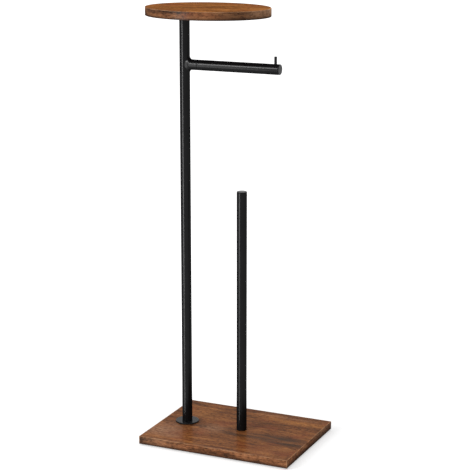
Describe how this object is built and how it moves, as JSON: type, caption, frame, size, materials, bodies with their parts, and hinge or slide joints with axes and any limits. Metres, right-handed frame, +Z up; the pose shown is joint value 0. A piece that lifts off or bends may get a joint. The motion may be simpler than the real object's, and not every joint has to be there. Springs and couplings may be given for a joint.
{
  "type": "toilet roll stand",
  "caption": "Free-standing toilet roll holder: a brown wood foot board, a black post with an oval shelf and a side arm, and a short open post for spare rolls.",
  "frame": {"origin": "on the floor, under the middle of the whole outline seen from above", "axes": "+Z up, +X along the foot board's long side and the roll arm, +Y towards the back"},
  "size_m": [0.2536, 0.174, 0.6355],
  "materials": {
    "wood_face": "rustic brown wood pattern with dark streaks, satin",
    "wood_edge": "mottled brown edge strip, satin",
    "black_coat": "black powder coat, satin",
    "zinc_steel": "bright zinc plating",
    "pad_rubber": "black foam rubber"
  },
  "bodies": {
    "root": {"base_board": "wood_face", "base_edge_front": "wood_edge", "base_edge_back": "wood_edge", "base_edge_left": "wood_edge", "base_edge_right": "wood_edge", "base_pads": "pad_rubber", "base_bolts": "zinc_steel", "base_washers": "zinc_steel", "main_post": "black_coat", "post_flange": "black_coat", "post_foot_insert": "zinc_steel", "shelf_plate": "black_coat", "shelf_screws": "zinc_steel", "shelf_board": "wood_face", "shelf_edge_band": "wood_edge", "arm_stub": "black_coat", "arm_stub_insert": "zinc_steel", "arm_stud": "zinc_steel", "arm_insert": "zinc_steel", "roll_arm": "black_coat", "arm_end_cap": "black_coat", "retaining_pin": "black_coat", "spare_post": "black_coat", "spare_foot_insert": "zinc_steel", "spare_post_cap": "black_coat"}
  },
  "joints": []
}
